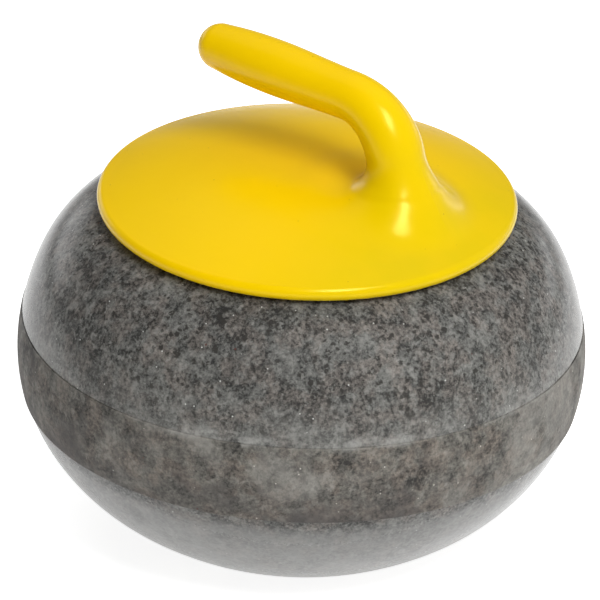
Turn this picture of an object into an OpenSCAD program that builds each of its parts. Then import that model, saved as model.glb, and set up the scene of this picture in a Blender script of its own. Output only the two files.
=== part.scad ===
// Curling stone: a turned granite body, a moulded gooseneck handle, and the bolt that clamps them together.
// Millimetres, +Z up. The origin is the centre of the running band on the ice, and the stone's axis is Z.
// The handle's post stands on the +X side and its grip points towards -X. Sections are in the XZ plane.

/* [Granite] */
// Largest diameter, across the striking band
stone_d = 268; // [264:1:272]
// Height of the widest level above the ice
widest_z = 89; // [88:0.5:90]
// Height of the flat ring on top, which is a spare running band under the handle
crown_z = 172; // [171:0.5:172.5]
// Radius of the upper side's curve
upper_side_r = 102; // [98:1:106]
// Radius of the upper shoulder's curve
upper_shoulder_r = 57.5; // [56:0.5:59]
// Lower side's radius of curve
lower_side_r = 80; // [78:1:82]
// Lower shoulder's radius of curve
lower_shoulder_r = 101.5; // [100:0.5:103]
// Height of the striking band above the widest level
band_above = 17; // [14:0.5:18]
// Depth of the striking band below the widest level
band_below = 22; // [18:0.5:24]
// Radius of the striking band's bulge, seen in section
band_bow_r = 88; // [84:1:95]
// Depth of the step from the rough striking band down to the polished stone
band_step = 0.6; // [0.3:0.1:1]
// Inner radius of the running band, which is also the rim of each cup
cup_r = 59; // [57:0.5:60]
// Depth of each cup
cup_depth = 8; // [7:0.5:9]
// Radius between a cup's wall and its floor
cup_fillet = 6; // [4:0.5:6.5]
// Diameter of the bolt hole
hole_d = 16; // [15:0.5:17]
// Radius of the counterbore that hides the bolt's head
counterbore_r = 17; // [16.5:0.5:20]
// Height of the counterbore's floor above the ice
counterbore_z = 20; // [19:0.5:24]

/* [Handle plate] */
// Outer diameter of the plate
plate_d = 196; // [192:0.5:198]
// Height of the middle of the plate's rounded rim
rim_z = 165.7; // [165.5:0.1:167]
// Thickness of the rounded rim
rim_t = 7.4; // [6.5:0.1:7.6]
// Radius of the plate's domed top
plate_bow_r = 273; // [268:1:280]
// Wall thickness of the plate
plate_t = 5; // [4.5:0.1:5.2]

/* [Handle grip] */
// Where the post's line meets the post's root, measured from the stone's axis
post_x = 57; // [54:0.5:60]
// Lean of the post towards the axis, in degrees
post_lean = 14.7; // [10:0.1:18]
// Radius of the bend between post and grip
elbow_r = 29; // [26:0.5:32]
// Height of the grip's middle line over the stone's axis
grip_z = 226.5; // [222:0.5:230]
// Rise of the grip towards its free end, in degrees
grip_tilt = 0.6; // [0:0.1:3]
// Reach of the grip's round end beyond the axis
grip_reach = 53.5; // [50:0.5:58]
// Radius of the post where it starts to bend
post_r = 13.6; // [13:0.1:15]
// Radius of the neck between the bend and the grip
neck_r = 11.6; // [11:0.1:12.5]
// Radius of the grip at its fullest
swell_r = 12.9; // [12:0.1:14]
// Radius of the grip where its end begins to round over
tip_r = 11; // [10:0.1:12]
// Spread of the post's foot beyond the post
foot_spread = 26; // [20:1:28]
// Height of the post's foot
foot_h = 25; // [20:1:27]

/* [Bolt and fittings] */
// Thread diameter of the through bolt, three eighths of an inch
bolt_d = 9.52; // [9.5:0.01:10]
// Width across the flats of the bolt's head
bolt_flats = 14.3; // [14:0.1:17]
// Height of the bolt's head
bolt_head_h = 6.2; // [6:0.1:6.4]
// Radius of both washers
washer_r = 15.5; // [14:0.5:16]
// Thickness of the steel washer
steel_washer_t = 2; // [1.5:0.1:2.2]
// Thickness of the rubber washer
rubber_washer_t = 2.5; // [2:0.1:2.8]
// Outer radius of the threaded insert
insert_r = 7; // [6.5:0.1:7.5]
// Length of the threaded insert
insert_h = 14; // [12:0.5:14]
// Outer radius of the boss that holds the insert
boss_r = 13; // [11:0.5:14]
// Length of the centring bush's sleeve
bush_sleeve = 25; // [20:1:30]
// Radius of the centring bush's flange
bush_flange_r = 18; // [16:0.5:20]
// Thickness of the centring bush's flange
bush_flange_t = 2; // [1.5:0.1:2.5]
// Inner radius of the soft ring between the granite and the plate
gasket_in_r = 80; // [78:0.5:82]
// Outer radius of the soft ring
gasket_out_r = 88; // [86:0.5:89]

/* [Hidden] */
$fn = 96;
EPS = 0.01;

stone_r = stone_d / 2;
polished_r = stone_r - band_step;

// Each polished half is three arcs that meet smoothly: side, shoulder, and a cap centred on the axis.
// The angles are where one arc hands over to the next, measured up or down from level.
UPPER_TURNS = [24.4, 64.6];
LOWER_TURNS = [31.8, 52.8];

function along(a) = [cos(a), sin(a)];
function side_c(side) = [polished_r - side, 0];
function shoulder_c(side, shoulder, turns) = side_c(side) + (side - shoulder) * along(turns[0]);
function cap_r(side, shoulder, turns) = shoulder + shoulder_c(side, shoulder, turns)[0] / cos(turns[1]);
function cap_c(side, shoulder, turns) =
    shoulder_c(side, shoulder, turns) + (shoulder - cap_r(side, shoulder, turns)) * along(turns[1]);

// The part of a disc between two angles.
module sector(c, r, from, to) {
    mid = (from + to) / 2;
    far = 1.2 * r;
    intersection() {
        translate(c) circle(r, $fn = 360);
        polygon([c, c + far * along(from), c + far * along(mid), c + far * along(to)]);
    }
}

// Where two arcs meet, the tighter one runs on inside the wider one and stands HAIR proud of it,
// so the two always cross.
HAIR = 0.003;
RUN_ON = 8;
function wider(r, radii) = len([for (other = radii) if (other > r) other]);

// Half of the polished section, from the widest level to the axis.
module half_section(side, shoulder, turns) {
    centres = [side_c(side), shoulder_c(side, shoulder, turns), cap_c(side, shoulder, turns)];
    radii = [side, shoulder, cap_r(side, shoulder, turns)];
    ends = [0, turns[0], turns[1], 90];
    joins = [for (i = [0 : 2]) each [for (a = [ends[i], ends[i + 1]]) centres[i] + radii[i] * along(a)]];
    // The core fills the middle and stays a little inside the arcs.
    core_share = 0.96;
    intersection() {
        union() {
            polygon(concat([[0, 0]], core_share * joins));
            for (i = [0 : 2]) {
                before = i > 0 && radii[i] < radii[i - 1] ? RUN_ON : 0;
                after = i < 2 && radii[i] < radii[i + 1] ? RUN_ON : 0;
                proud = HAIR * wider(radii[i], radii);
                sector(centres[i], radii[i] + proud, ends[i] - before, ends[i + 1] + after);
            }
        }
        square([stone_d, stone_d]);
    }
}

// The space of one cup, its floor at height zero and its mouth upwards.
module cup_section(depth) {
    difference() {
        square([cup_r, depth + EPS]);
        difference() {
            translate([cup_r - cup_fillet, -EPS]) square([cup_fillet + EPS, cup_fillet]);
            translate([cup_r - cup_fillet, cup_fillet]) circle(cup_fillet + HAIR);
        }
    }
}

module granite_section() {
    cup_floor = crown_z - cup_depth;
    difference() {
        union() {
            intersection() {
                union() {
                    translate([0, widest_z]) half_section(upper_side_r, upper_shoulder_r, UPPER_TURNS);
                    translate([0, widest_z])
                        mirror([0, 1]) half_section(lower_side_r, lower_shoulder_r, LOWER_TURNS);
                }
                square([stone_r, crown_z]);
            }
            intersection() {
                translate([stone_r - band_bow_r, widest_z]) circle(band_bow_r, $fn = 180);
                translate([stone_r / 2, widest_z - band_below]) square([stone_r, band_below + band_above]);
            }
        }
        translate([0, cup_floor]) cup_section(cup_depth);
        translate([0, cup_depth]) mirror([0, 1]) cup_section(cup_depth);
        square([hole_d / 2, stone_d]);
        square([counterbore_r, counterbore_z]);
    }
}

module granite_body() {
    color([0.47, 0.47, 0.46]) rotate_extrude($fn = 180) granite_section();
}

// Plate: two concentric domes for the shell, and a round rim that the outer dome meets smoothly.
rim_r = rim_t / 2;
rim_ring_r = plate_d / 2 - rim_r;
dome_c = rim_z - sqrt(pow(plate_bow_r - rim_r, 2) - pow(rim_ring_r, 2));
function dome_z(r, drop = 0) = dome_c + sqrt(pow(plate_bow_r - drop, 2) - r * r);

cup_floor_z = crown_z - cup_depth;
boss_z = cup_floor_z + bush_flange_t;
// The insert is set back a little from the boss's face.
INSERT_SETBACK = 0.5;
insert_z = boss_z + INSERT_SETBACK;

module plate_section() {
    difference() {
        sector([0, dome_c], plate_bow_r, acos(rim_ring_r / (plate_bow_r - rim_r)), 90);
        translate([0, dome_c]) circle(plate_bow_r - plate_t, $fn = 360);
    }
    translate([rim_ring_r, rim_z]) circle(rim_r + HAIR);
    translate([0, boss_z]) square([boss_r, dome_z(boss_r, plate_t / 2) - boss_z]);
}

// A radial rib under the plate, from inside the boss to just inside the cup's rim.
// Its foot stays off the granite, and its top edge ends inside the shell.
RIBS = 6;
module rib(angle) {
    from = boss_r - 1;
    to = cup_r - 2;
    rib_t = 2.6;
    bite = 0.7 * plate_t;
    foot_from = cup_floor_z + 4;
    foot_to = cup_floor_z + cup_fillet;
    rotate([0, 0, angle]) rotate([90, 0, 0]) translate([0, 0, -rib_t / 2]) linear_extrude(rib_t)
        polygon([[from, foot_from], [to, foot_to], [to, dome_z(to, bite)], [from, dome_z(from, bite)]]);
}

// Gooseneck: a straight post, a bend and a straight grip, as one swept tube.
// A station is [x, z, direction from upright, radius across, radius in the XZ plane].
root_z = dome_z(post_x, plate_t);
bend = 90 - grip_tilt - post_lean;
post_dir = [-sin(post_lean), cos(post_lean)];
grip_dir = [-cos(grip_tilt), sin(grip_tilt)];
// Where the post's line and the grip's line cross: over_axis is the grip line's drop at the post's line.
over_axis = (post_x + root_z * tan(post_lean)) * tan(grip_tilt);
corner_z = (grip_z - over_axis) / (1 - tan(post_lean) * tan(grip_tilt));
corner = [post_x - (corner_z - root_z) * tan(post_lean), corner_z];
bend_start = corner - elbow_r * tan(bend / 2) * post_dir;
bend_end = corner + elbow_r * tan(bend / 2) * grip_dir;
bend_c = bend_start - elbow_r * along(post_lean);
tip = [-grip_reach, grip_z + grip_reach * tan(grip_tilt)];

function ease(t) = t * t * (3 - 2 * t);
function mix(a, b, t) = a + (b - a) * t;

// The foot is a concave quarter of an ellipse, from the start of the bend down to the plate.
// It stops short of the ellipse's level end and sinks a little, so it cuts the dome at a clear angle.
FOOT_END = 74;
foot_sink = 0.8;
function foot_station(q) =
    let (h = foot_h * (1 - sin(q)) - foot_sink,
         spread = foot_spread * (1 - cos(q)),
         x = bend_start[0] + (bend_start[1] - dome_z(post_x) - h) * tan(post_lean),
         lean = mix(post_lean, -asin(post_x / plate_bow_r), ease(q / 90)))
    [x, dome_z(x) + h, lean, post_r + spread, (post_r + spread) / cos(lean - post_lean * (1 - q / 90))];

// How many rings each stretch of the tube has
FOOT_RINGS = 10;
ARM_RINGS = 12;
GRIP_RINGS = 14;
END_RINGS = 6;

foot = [for (i = [0 : FOOT_RINGS - 1]) foot_station(FOOT_END * (1 - i / FOOT_RINGS))];
arm = [for (i = [0 : ARM_RINGS - 1])
    let (a = bend * i / ARM_RINGS, r = mix(post_r, neck_r, ease(i / ARM_RINGS)))
    concat(bend_c + elbow_r * along(post_lean + a), [post_lean + a, r, r])];
// Where along the grip it is fullest, as a share of its length
SWELL_AT = 0.57;
grip = [for (i = [0 : GRIP_RINGS])
    let (t = i / GRIP_RINGS,
         r = t < SWELL_AT ? mix(neck_r, swell_r, ease(t / SWELL_AT))
                          : mix(swell_r, tip_r, pow((t - SWELL_AT) / (1 - SWELL_AT), 2)),
         p = mix(bend_end, tip, t))
    [p[0], p[1], 90 - grip_tilt, r, r]];
// The round end is half a ball, whose last ring is just short of its pole.
LAST_RING = 84;
round_end = [for (i = [1 : END_RINGS])
    let (a = LAST_RING * i / END_RINGS, p = tip + tip_r * sin(a) * grip_dir)
    [p[0], p[1], 90 - grip_tilt, tip_r * cos(a), tip_r * cos(a)]];
pole = tip + tip_r * grip_dir;
stations = concat(foot, arm, grip, round_end);

// One ring of points around a station. The sag bends the foot's rings down to follow the dome.
SIDES = 28;
function ring(s, sag) = [for (k = [0 : SIDES - 1])
    let (a = 360 * k / SIDES, u = s[4] * cos(a), v = s[3] * sin(a))
    [s[0] + u * cos(s[2]), v, s[1] + u * sin(s[2]) - sag * (u * u + v * v) / (2 * plate_bow_r)]];

module gooseneck() {
    sunk = [for (i = [0 : len(stations) - 1]) ring(stations[i], max(0, 1 - i / FOOT_RINGS))];
    root = [for (p = sunk[0]) [p[0], p[1], dome_z(norm([p[0], p[1]]), plate_t / 2)]];
    rings = concat([root], sunk);
    m = len(rings);
    mid = [stations[0][0], 0, dome_z(stations[0][0], plate_t / 2)];
    points = concat([for (r = rings) each r], [mid, [pole[0], 0, pole[1]]]);
    walls = [for (j = [0 : m - 2], k = [0 : SIDES - 1])
        let (a = j * SIDES + k, b = j * SIDES + (k + 1) % SIDES)
        [a, a + SIDES, b + SIDES, b]];
    floor_fan = [for (k = [0 : SIDES - 1]) [m * SIDES, k, (k + 1) % SIDES]];
    end_fan = [for (k = [0 : SIDES - 1])
        [m * SIDES + 1, (m - 1) * SIDES + (k + 1) % SIDES, (m - 1) * SIDES + k]];
    polyhedron(points, concat(walls, floor_fan, end_fan));
}

// The insert's outside: a cylinder with two ring grooves that the moulded boss fills.
module insert_blank() {
    groove = 0.8;
    translate([0, 0, insert_z]) difference() {
        cylinder(r = insert_r, h = insert_h);
        for (z = insert_h / 3 * [1, 2]) translate([0, 0, z - groove]) difference() {
            cylinder(r = insert_r + 1, h = 2 * groove);
            translate([0, 0, -EPS]) cylinder(r = insert_r - groove, h = 2 * groove + 2 * EPS);
        }
    }
}

module handle() {
    color([0.97, 0.80, 0.02]) difference() {
        union() {
            rotate_extrude($fn = 180) plate_section();
            for (i = [0 : RIBS - 1]) rib(360 * i / RIBS);
            gooseneck();
        }
        insert_blank();
        translate([0, 0, boss_z - 1]) cylinder(d = bolt_d + 2, h = INSERT_SETBACK + 1 + EPS);
    }
}

// Soft ring between the granite and the plate, just inside the rim.
module seat_gasket() {
    crown_c = cap_c(upper_side_r, upper_shoulder_r, UPPER_TURNS) + [0, widest_z];
    // A box that starts below both curves and ends above them
    box_h = 16;
    color([0.10, 0.10, 0.10]) rotate_extrude($fn = 180) difference() {
        intersection() {
            translate([0, dome_c]) circle(plate_bow_r - plate_t, $fn = 360);
            translate([gasket_in_r, crown_z - box_h]) square([gasket_out_r - gasket_in_r, box_h]);
        }
        translate(crown_c) circle(cap_r(upper_side_r, upper_shoulder_r, UPPER_TURNS), $fn = 360);
    }
}

// Play around the bolt: how much wider each hole is than the thread
THREAD_PLAY = 0.06;
BUSH_PLAY = 0.6;
WASHER_PLAY = 0.8;

module centring_bush() {
    sleeve_play = 0.1;
    sleeve_z = cup_floor_z - bush_sleeve;
    color([0.92, 0.90, 0.84]) difference() {
        union() {
            translate([0, 0, cup_floor_z]) cylinder(r = bush_flange_r, h = bush_flange_t);
            translate([0, 0, sleeve_z]) cylinder(r = hole_d / 2 - sleeve_play, h = bush_sleeve + EPS);
        }
        translate([0, 0, sleeve_z - 1])
            cylinder(d = bolt_d + BUSH_PLAY, h = bush_sleeve + bush_flange_t + 2);
    }
}

module threaded_insert() {
    color([0.78, 0.62, 0.30]) difference() {
        insert_blank();
        translate([0, 0, insert_z - 1]) cylinder(d = bolt_d + THREAD_PLAY, h = insert_h + 2);
    }
}

rubber_washer_z = counterbore_z - rubber_washer_t;
steel_washer_z = rubber_washer_z - steel_washer_t;

module washer(z, t) {
    translate([0, 0, z]) difference() {
        cylinder(r = washer_r, h = t);
        translate([0, 0, -1]) cylinder(d = bolt_d + WASHER_PLAY, h = t + 2);
    }
}

module steel_washer() {
    color([0.75, 0.76, 0.78]) washer(steel_washer_z, steel_washer_t);
}

module rubber_washer() {
    color([0.12, 0.12, 0.12]) washer(rubber_washer_z, rubber_washer_t);
}

module through_bolt() {
    corner_r = bolt_flats / 2 / cos(30);
    bevel = 1;
    // The shank ends a little below the insert's top.
    shank_top = insert_z + insert_h - 1.5;
    color([0.70, 0.71, 0.73]) {
        translate([0, 0, steel_washer_z - bolt_head_h]) intersection() {
            cylinder(r = corner_r, h = bolt_head_h, $fn = 6);
            union() {
                cylinder(r1 = corner_r - 2 * bevel, r2 = corner_r, h = bevel);
                translate([0, 0, bevel - EPS]) cylinder(r = corner_r, h = bolt_head_h);
            }
        }
        translate([0, 0, steel_washer_z - EPS])
            cylinder(d = bolt_d, h = shank_top - bevel - steel_washer_z + 2 * EPS);
        translate([0, 0, shank_top - bevel]) cylinder(d1 = bolt_d, d2 = bolt_d - 2 * bevel, h = bevel);
    }
}

granite_body();
handle();
seat_gasket();
centring_bush();
threaded_insert();
through_bolt();
steel_washer();
rubber_washer();
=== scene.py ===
"""Looks for the curling stone: granite body, yellow gooseneck handle, bolt and fittings, on a pale floor.

Shapes are worked out in millimetres around the stone's axis and turned into metres when a mesh is made.
"""

import math

import bpy
import numpy as np
from mathutils import Matrix, Vector, noise


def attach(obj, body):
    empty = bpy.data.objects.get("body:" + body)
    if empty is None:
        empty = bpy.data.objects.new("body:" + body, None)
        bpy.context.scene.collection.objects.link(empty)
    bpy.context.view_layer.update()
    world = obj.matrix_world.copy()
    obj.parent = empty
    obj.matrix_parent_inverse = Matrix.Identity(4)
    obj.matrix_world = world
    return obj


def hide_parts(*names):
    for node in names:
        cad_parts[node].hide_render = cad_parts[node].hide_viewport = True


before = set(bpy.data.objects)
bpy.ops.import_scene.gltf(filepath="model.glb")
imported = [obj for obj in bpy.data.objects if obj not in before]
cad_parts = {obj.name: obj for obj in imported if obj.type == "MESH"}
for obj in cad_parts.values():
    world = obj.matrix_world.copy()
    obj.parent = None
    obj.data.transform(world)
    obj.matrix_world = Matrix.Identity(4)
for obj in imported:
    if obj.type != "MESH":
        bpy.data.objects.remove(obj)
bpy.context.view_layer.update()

MM = 0.001

# ---------------------------------------------------------------- sizes of the stone, in millimetres
STONE_R = 134.0
WIDEST_Z = 89.0
CROWN_Z = 172.0
BAND_STEP = 0.6
POLISHED_R = STONE_R - BAND_STEP
UPPER_ARCS = (102.0, 57.5, 24.4, 64.6)      # side radius, shoulder radius, and the two hand-over angles
LOWER_ARCS = (80.0, 101.5, 31.8, 52.8)
BAND_ABOVE, BAND_BELOW, BAND_BOW_R = 17.0, 22.0, 88.0
BAND_TOP_GAP = 0.2
GROOVE_FOOT, BEVEL_TOP = (-0.12, -0.1), (-0.02, 0.5)    # (r, z) from the upper polish's lowest point
CUP_R, CUP_DEPTH, CUP_FILLET = 59.0, 8.0, 6.0
HOLE_R = 8.0
COUNTERBORE_R, COUNTERBORE_Z = 17.0, 20.0
DIP, DIP_WAVE, FINE_DIP, FINE_WAVE = 0.05, 0.021, 0.012, 5      # hand grinding of the stone
GROUND_FROM_R = CUP_R + 5
WANDER, WANDER_WAVE, WANDER_REACH = 0.22, 0.012, 6.0            # how the band's edges wander
WANDER_PLACE = Vector((7, 0, 0))
STONE_SIDES, STONE_STEP = 300, 2.6

# ---------------------------------------------------------------- sizes of the handle
RIM_R = 3.7
RIM_RING_R = 94.3
RIM_Z = 165.7
BOW_R = 273.0
WALL = 5.0
DOME_C = RIM_Z - math.sqrt((BOW_R - RIM_R) ** 2 - RIM_RING_R ** 2)
BOSS_R, BOSS_Z, BOSS_HOLE_R = 13.0, 166.0, 5.76
RIBS, RIB_T, RIB_LIFT, RIB_SLOPE, RIB_INTO_WALL, RIB_RINGS = 6, 2.6, 4.0, 2.0, 0.7, 16
POST_X, POST_LEAN, POST_R = 57.0, math.radians(14.7), 13.6
ELBOW_R = 29.0
GRIP_Z, GRIP_TILT, GRIP_REACH = 226.5, math.radians(0.6), 53.5
NECK_R, SWELL_R, TIP_R, SWELL_AT = 11.6, 12.9, 11.0, 0.57
FOOT_SPREAD, FOOT_ON_DOME = 26.0, 0.4
LESS_TO_RIM, MORE_TO_AXIS, AXIS_POWER, AXIS_SMOOTH = 0.22, 0.75, 0.7, 0.03      # shares of the foot's spread
WAIST, WAIST_H, WAIST_REACH = 0.35, 8.5, 1.1        # the post's slight waist over the foot
RIDGE_H = 0.22
SINK, SINK_WAVE = 0.05, 0.045                       # unevenness of the moulded skin
HANDLE_SIDES = 144
TIP_RINGS, GRIP_RINGS, BEND_RINGS, FOOT_RINGS, PLATE_RINGS = 15, 39, 33, 35, 26
PLATE_CROWDING = 0.35       # how much closer the plate's rings lie to each other near the foot

# ---------------------------------------------------------------- sizes of the bolt and fittings
INSERT_R, INSERT_Z, INSERT_H, INSERT_BORE_R = 7.0, 166.5, 14.0, 4.79
BOLT_R, BOLT_PITCH, THREAD_FROM = 4.76, 1.5875, 128.0
THREAD_DEPTH = 0.61 * BOLT_PITCH
BOLT_FLATS, BOLT_HEAD_H, BOLT_CHAMFER, BOLT_SIDES = 14.3, 6.2, math.radians(30), 96
STEEL_WASHER_Z, STEEL_WASHER_T = 15.5, 2.0
RUBBER_WASHER_Z, RUBBER_WASHER_T = 17.5, 2.5
WASHER_R, WASHER_BORE_R = 15.5, 5.16
SHANK_TOP = 179.0
BUSH_SLEEVE, BUSH_R, BUSH_BORE_R = 25.0, 7.9, 5.06
BUSH_FLANGE_R, BUSH_FLANGE_T = 18.0, 2.0
GASKET_IN_R, GASKET_OUT_R, GASKET_GAP = 80.0, 88.0, 0.03
KNURL_TEETH, KNURL_DEPTH, KNURL_SIDES = 40, 0.22, 240
FITTING_SIDES = 128


# ================================================================ mesh helpers
CORNER_STEPS = 5


def ease(t):
    t = min(max(t, 0.0), 1.0)
    return t * t * (3 - 2 * t)


def mix(a, b, t):
    return a + (b - a) * t


def arc(centre, radius, start, end, step):
    """Points (r, z) along an arc, angles in degrees, about step millimetres apart."""
    count = max(3, math.ceil(abs(math.radians(end - start)) * radius / step))
    angles = np.radians(np.linspace(start, end, count + 1))
    return np.stack([centre[0] + radius * np.cos(angles), centre[1] + radius * np.sin(angles)], -1)


def line(start, end, step):
    count = max(1, math.ceil(math.dist(start, end) / step))
    return np.linspace(start, end, count + 1)


def trimmed(points, cut):
    """The polyline without its last cut millimetres."""
    lengths = np.concatenate([[0], np.cumsum(np.linalg.norm(np.diff(points, axis=0), axis=1))])
    stop = lengths[-1] - cut
    keep = points[lengths < stop - 1e-6]
    at = [np.interp(stop, lengths, points[:, k]) for k in range(2)]
    return np.vstack([keep, [at]])


def joined(pieces, closed=True):
    """One polyline from (points, softening) pieces.

    The softening is how far back the corner after a piece is rounded.
    """
    lines = [np.array(p, float) for p, _ in pieces]
    soft = [s for _, s in pieces]
    result = []
    for i, points in enumerate(lines):
        before = soft[i - 1] if closed or i else 0
        after = soft[i] if closed or i < len(lines) - 1 else 0
        corner = points[-1]
        if before:
            points = trimmed(points[::-1], before)[::-1]
        if after:
            points = trimmed(points, after)
        result.append(points)
        if after:
            nxt = lines[(i + 1) % len(lines)]
            far = trimmed(nxt[::-1], after)[::-1][0]
            t = np.linspace(0, 1, CORNER_STEPS + 1)[1:-1, None]
            result.append((1 - t) ** 2 * points[-1] + 2 * t * (1 - t) * corner + t ** 2 * far)
    loop = np.vstack(result)
    keep = np.linalg.norm(loop - np.roll(loop, 1, axis=0), axis=1) > 1e-4
    if not closed:
        keep[0] = True
    return loop[keep]


def outline(corners, soft, step):
    """A closed polyline through (r, z) corners, each rounded by soft millimetres."""
    following = corners[1:] + corners[:1]
    return joined([(line(a, b, step), soft) for a, b in zip(corners, following)])


def signed_volume(mesh):
    mesh.calc_loop_triangles()
    corners = np.zeros(len(mesh.loop_triangles) * 3, np.int32)
    mesh.loop_triangles.foreach_get("vertices", corners)
    co = np.zeros(len(mesh.vertices) * 3)
    mesh.vertices.foreach_get("co", co)
    t = co.reshape(-1, 3)[corners.reshape(-1, 3)]
    return float(np.einsum("ij,ij->", t[:, 0], np.cross(t[:, 1], t[:, 2]))) / 6


def add_object(name, points, faces, material, node):
    """A mesh object from points in millimetres, riding on the one body in the place of a CAD node."""
    mesh = bpy.data.meshes.new(name)
    mesh.from_pydata((np.asarray(points) * MM).tolist(), [], faces)
    mesh.update()
    if signed_volume(mesh) < 0:
        mesh.flip_normals()
    mesh.polygons.foreach_set("use_smooth", [True] * len(mesh.polygons))
    mesh.materials.append(material)
    piece = bpy.data.objects.new(name, mesh)
    bpy.context.scene.collection.objects.link(piece)
    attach(piece, "root")
    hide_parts(node)


def loft(rings, closed=False, start_pole=None, end_pole=None):
    """Points and faces through rings of equal length.

    closed joins the last ring to the first, and a pole closes an end.
    """
    rings = np.asarray(rings, float)
    count, sides = rings.shape[:2]
    points = rings.reshape(-1, 3).tolist()
    faces = []
    for j in range(count if closed else count - 1):
        a, b = j * sides, (j + 1) % count * sides
        faces += [(a + k, a + (k + 1) % sides, b + (k + 1) % sides, b + k) for k in range(sides)]
    if start_pole is not None:
        points.append(list(start_pole))
        pole = len(points) - 1
        faces += [(pole, (k + 1) % sides, k) for k in range(sides)]
    if end_pole is not None:
        points.append(list(end_pole))
        pole = len(points) - 1
        last = (count - 1) * sides
        faces += [(pole, last + k, last + (k + 1) % sides) for k in range(sides)]
    return points, faces


def level_ring(radius, z, angles):
    """A level ring at height z. The radius is one number, or one for each angle."""
    return np.stack([radius * np.cos(angles), radius * np.sin(angles), z + 0 * angles], -1)


def all_round(sides):
    return np.linspace(0, 2 * math.pi, sides, endpoint=False)


def turned(profile, sides):
    """Rings of a profile (r, z) turned around the stone's axis."""
    return level_ring(profile[:, 0, None], profile[:, 1, None], all_round(sides))


def turned_ring(profile, sides):
    return loft(turned(profile, sides), closed=True)


# ================================================================ granite body
def half_arcs(sizes):
    """Centres and radii of the three arcs of one polished half, measured up from the widest level."""
    side, shoulder, first, second = sizes
    t0, t1 = math.radians(first), math.radians(second)
    side_c = np.array([POLISHED_R - side, 0.0])
    shoulder_c = side_c + (side - shoulder) * np.array([math.cos(t0), math.sin(t0)])
    cap = shoulder + shoulder_c[0] / math.cos(t1)
    cap_c = shoulder_c + (shoulder - cap) * np.array([math.cos(t1), math.sin(t1)])
    return (side_c, side), (shoulder_c, shoulder), (cap_c, cap)


def polished_half(sizes, band_edge, top, step):
    """Points from the band's edge to the flat ring, heights measured away from the widest level."""
    (side_c, side), (shoulder_c, shoulder), (cap_c, cap) = half_arcs(sizes)
    first, second = sizes[2:]
    start = math.degrees(math.asin(band_edge / side))
    end = math.degrees(math.asin((top - cap_c[1]) / cap))
    on_side = arc(side_c, side, start, first, step)
    on_shoulder = arc(shoulder_c, shoulder, first, second, step)[1:]
    on_cap = arc(cap_c, cap, second, end, step)[1:]
    return np.vstack([on_side, on_shoulder, on_cap])


def granite_profile():
    """The stone's section: down the bolt hole, around the outside, and back over the upper cup.

    Each line or arc comes with how far the corner after it is rounded.
    """
    upper = polished_half(UPPER_ARCS, BAND_ABOVE, CROWN_Z - WIDEST_Z, STONE_STEP) + [0, WIDEST_Z]
    lower = polished_half(LOWER_ARCS, BAND_BELOW, WIDEST_Z, STONE_STEP) * [1, -1] + [0, WIDEST_Z]
    band_c = (STONE_R - BAND_BOW_R, WIDEST_Z)
    low = -math.degrees(math.asin(BAND_BELOW / BAND_BOW_R))
    high = math.degrees(math.asin((BAND_ABOVE - BAND_TOP_GAP) / BAND_BOW_R))
    band = arc(band_c, BAND_BOW_R, low, high, STONE_STEP)
    groove_foot = upper[0] + GROOVE_FOOT
    bevel_top = upper[0] + BEVEL_TOP
    upper = np.vstack([[bevel_top], upper[1:]])
    cup_top = CROWN_Z - CUP_DEPTH
    fillet_r = CUP_R - CUP_FILLET
    top_fillet = arc((fillet_r, cup_top + CUP_FILLET), CUP_FILLET, 0, -90, 1.0)
    low_fillet = arc((fillet_r, CUP_DEPTH - CUP_FILLET), CUP_FILLET, 90, 0, 1.0)
    return joined([
        (line((HOLE_R, cup_top), (HOLE_R, COUNTERBORE_Z), 12), 0.4),
        (line((HOLE_R, COUNTERBORE_Z), (COUNTERBORE_R, COUNTERBORE_Z), 3), 0.8),
        (line((COUNTERBORE_R, COUNTERBORE_Z), (COUNTERBORE_R, CUP_DEPTH), 3), 0.8),
        (line((COUNTERBORE_R, CUP_DEPTH), (fillet_r, CUP_DEPTH), 4), 0),
        (low_fillet, 0),
        (line((CUP_R, CUP_DEPTH - CUP_FILLET), (CUP_R, 0), 1), 0.7),
        (line((CUP_R, 0), lower[-1], 1), 0.8),
        (lower[::-1], 0.25),
        (line(lower[0], band[0], 0.4), 0.3),
        (band, 0.25),
        (line(band[-1], groove_foot, 0.3), 0.1),
        (line(groove_foot, bevel_top, 0.3), 0.15),
        (upper, 0.8),
        (line(upper[-1], (CUP_R, CROWN_Z), 1), 0.7),
        (line((CUP_R, CROWN_Z), (CUP_R, cup_top + CUP_FILLET), 1), 0),
        (top_fillet, 0),
        (line((fillet_r, cup_top), (HOLE_R, cup_top), 4), 0.4),
    ])


def hand_ground(points):
    """Lowers the turned surface by a few hundredths of a millimetre here and there.

    The striking band's two edges wander a little up and down.
    """
    shaped = []
    for x, y, z in points:
        r = math.hypot(x, y)
        if r > GROUND_FROM_R:
            at = Vector((x, y, z)) * DIP_WAVE
            dip = DIP * (1 + noise.noise(at)) + FINE_DIP * (1 + noise.noise(at * FINE_WAVE))
            wander = WANDER * noise.noise(Vector((x, y, 0)) * WANDER_WAVE + WANDER_PLACE)
            to_top, to_foot = abs(z - WIDEST_Z - BAND_ABOVE), abs(z - WIDEST_Z + BAND_BELOW)
            near = max(ease(1 - to_top / WANDER_REACH), ease(1 - to_foot / WANDER_REACH))
            scale = (r - dip) / r
            x, y, z = x * scale, y * scale, z + wander * near
        shaped.append((x, y, z))
    return shaped


def make_granite():
    points, faces = turned_ring(granite_profile(), STONE_SIDES)
    add_object("granite_stone", hand_ground(points), faces, granite_material(), "granite_body")


# ================================================================ handle
def dome_z(r, drop=0.0):
    return DOME_C + math.sqrt((BOW_R - drop) ** 2 - r * r)


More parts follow.
